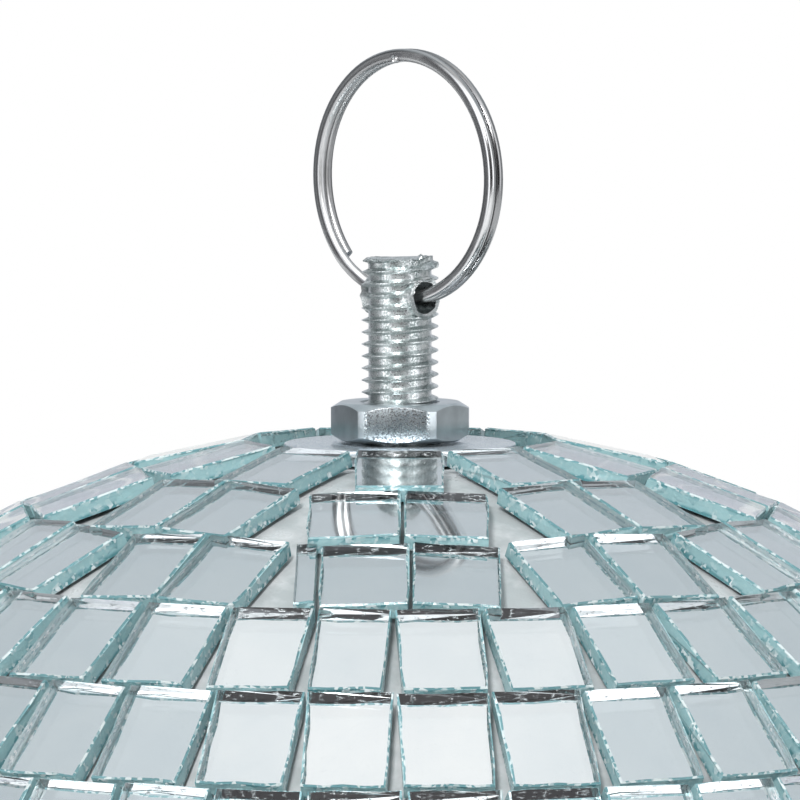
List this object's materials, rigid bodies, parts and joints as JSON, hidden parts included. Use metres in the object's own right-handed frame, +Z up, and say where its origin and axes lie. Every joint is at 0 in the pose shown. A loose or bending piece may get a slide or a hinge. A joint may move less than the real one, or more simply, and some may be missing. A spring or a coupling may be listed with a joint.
{
  "type": "mirror ball",
  "caption": "Hanging mirror ball: a hollow sphere covered in rows of small flat glass mirrors, with a threaded stud, nut and washer at the top and a split ring to hang it by.",
  "frame": {"origin": "level with the top inside of the split ring's eye, where the hanging line or hook bears, on the ball's axis; the ring sits 1 mm to +X of it", "axes": "+Z up along the stud and the ball's axis; the split ring lies in the XZ plane and the stud's cross hole runs along X"},
  "size_m": [0.1996, 0.1995, 0.2378],
  "materials": {
    "nickel_wire": "polished nickel plate",
    "zinc_stud": "bright zinc plate on a rolled thread",
    "zinc_nut": "zinc plate, fine speckle",
    "zinc_washer": "zinc plate, fine speckle",
    "zinc_plate": "zinc plate, stamped",
    "spring_steel": "spring steel, dull",
    "core_plastic": "pale moulded plastic with adhesive",
    "mirror_glass": "clear glass, silvered behind, pale green edges"
  },
  "bodies": {
    "ring": {"split_ring": "nickel_wire"},
    "ball": {"hanger_stud": "zinc_stud", "top_nut": "zinc_nut", "top_washer": "zinc_washer", "load_plate": "zinc_plate", "inner_washer": "zinc_washer", "lock_washer": "spring_steel", "inner_nut": "zinc_nut", "core_upper_shell": "core_plastic", "core_lower_shell": "core_plastic", "joining_band": "core_plastic", "mirror_row_01": "mirror_glass", "mirror_row_02": "mirror_glass", "mirror_row_03": "mirror_glass", "mirror_row_04": "mirror_glass", "mirror_row_05": "mirror_glass", "mirror_row_06": "mirror_glass", "mirror_row_07": "mirror_glass", "mirror_row_08": "mirror_glass", "mirror_row_09": "mirror_glass", "mirror_row_10": "mirror_glass", "mirror_row_11": "mirror_glass", "mirror_row_12": "mirror_glass", "mirror_row_13": "mirror_glass", "mirror_row_14": "mirror_glass", "mirror_row_15": "mirror_glass", "mirror_row_16": "mirror_glass", "mirror_row_17": "mirror_glass", "mirror_row_18": "mirror_glass", "mirror_row_19": "mirror_glass", "mirror_row_20": "mirror_glass", "mirror_row_21": "mirror_glass", "mirror_row_22": "mirror_glass", "mirror_row_23": "mirror_glass", "bottom_mirror": "mirror_glass"}
  },
  "joints": [
    {"name": "ball_swing", "type": "hinge", "parent": "ring", "child": "ball", "pos_m": [0, 0, -0.02438], "axis": [1, 0, 0], "range_deg": [-120, 120]}
  ]
}
